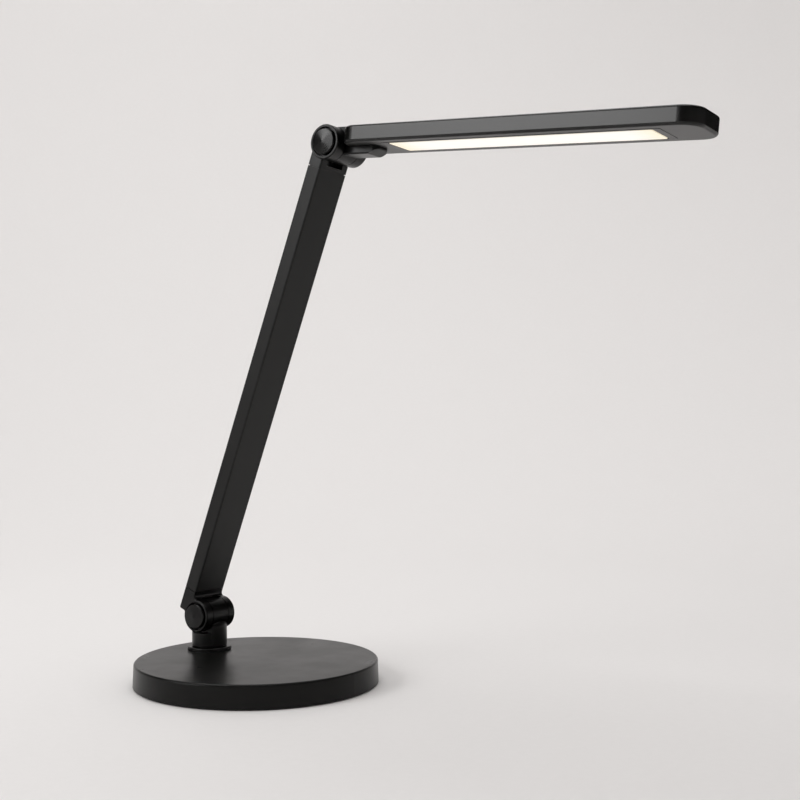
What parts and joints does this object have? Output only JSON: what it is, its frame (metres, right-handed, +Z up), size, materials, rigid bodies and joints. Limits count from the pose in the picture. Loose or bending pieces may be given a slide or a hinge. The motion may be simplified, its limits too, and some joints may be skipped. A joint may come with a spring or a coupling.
{
  "type": "led desk lamp",
  "caption": "Desk lamp with a round weighted base, swivelling post, hinged rectangular swing arm and a flat tilting head with a long light panel underneath.",
  "frame": {"origin": "middle of the round base on the desk surface, under the foam pad", "axes": "+Z up, +X the way the head points and the arm leans, +Y along the two hinge pins"},
  "size_m": [0.4598, 0.19, 0.4249],
  "materials": {
    "black_moulding": "fine satin",
    "black_acetal": "satin",
    "cast_black_aluminium": "fine matt paint",
    "black_anodised_bar": "satin",
    "black_head_aluminium": "satin paint",
    "bright_steel": "zinc plated",
    "black_steel": "black oxide",
    "nylon": "smooth",
    "ballast_iron": "as cast",
    "foam_pad": "closed cell foam",
    "socket_plastic": "smooth",
    "lead_sheath": "smooth",
    "opal_acrylic": "opal satin",
    "white_reflector": "smooth",
    "metal_core_board": "white mask",
    "led_package": "clear over phosphor",
    "circuit_board": "green mask",
    "switch_body": "smooth",
    "button_moulding": "satin"
  },
  "bodies": {
    "base": {"base_shell": "black_moulding", "base_plate": "black_moulding", "base_screws": "bright_steel", "base_pad": "foam_pad", "base_weight": "ballast_iron", "power_socket": "socket_plastic", "swivel_collar": "black_acetal"},
    "post": {"post": "cast_black_aluminium", "swivel_washer": "bright_steel", "swivel_nut": "bright_steel"},
    "arm": {"lower_fork": "cast_black_aluminium", "arm_bar": "black_anodised_bar", "arm_screws": "black_steel", "arm_lead": "lead_sheath", "upper_fork": "cast_black_aluminium", "lower_bolt": "bright_steel", "lower_nut": "bright_steel", "lower_disc_spring": "bright_steel", "lower_washers": "nylon", "lower_cap_near": "black_moulding", "lower_cap_far": "black_moulding", "upper_bolt": "bright_steel", "upper_nut": "bright_steel", "upper_disc_spring": "bright_steel", "upper_washers": "nylon", "upper_cap_near": "black_moulding", "upper_cap_far": "black_moulding"},
    "head": {"head_bracket": "cast_black_aluminium", "bracket_screws": "bright_steel", "head_housing": "black_head_aluminium", "panel_bezel": "black_moulding", "diffuser": "opal_acrylic", "reflector": "white_reflector", "led_board": "metal_core_board", "led_chips": "led_package", "control_board": "circuit_board", "tact_switch": "switch_body"},
    "button": {"power_button": "button_moulding"}
  },
  "joints": [
    {"name": "post_swivel", "type": "hinge", "parent": "base", "child": "post", "pos_m": [-0.05894, 0.00818, 0.0182], "axis": [0, 0, 1], "range_deg": [-97.9, 82.1]},
    {"name": "arm_tilt", "type": "hinge", "parent": "post", "child": "arm", "pos_m": [-0.05894, 0.00818, 0.0466], "axis": [0, 1, 0], "range_deg": [-35, 65]},
    {"name": "head_tilt", "type": "hinge", "parent": "arm", "child": "head", "pos_m": [0.07448, 0.00818, 0.41187], "axis": [0, 1, 0], "range_deg": [-80, 62]},
    {"name": "button_press", "type": "slide", "parent": "head", "child": "button", "axis": [-0.0958, 0, -0.9954], "range_m": [0, 0.0006], "stiffness_N_per_m": 500}
  ]
}
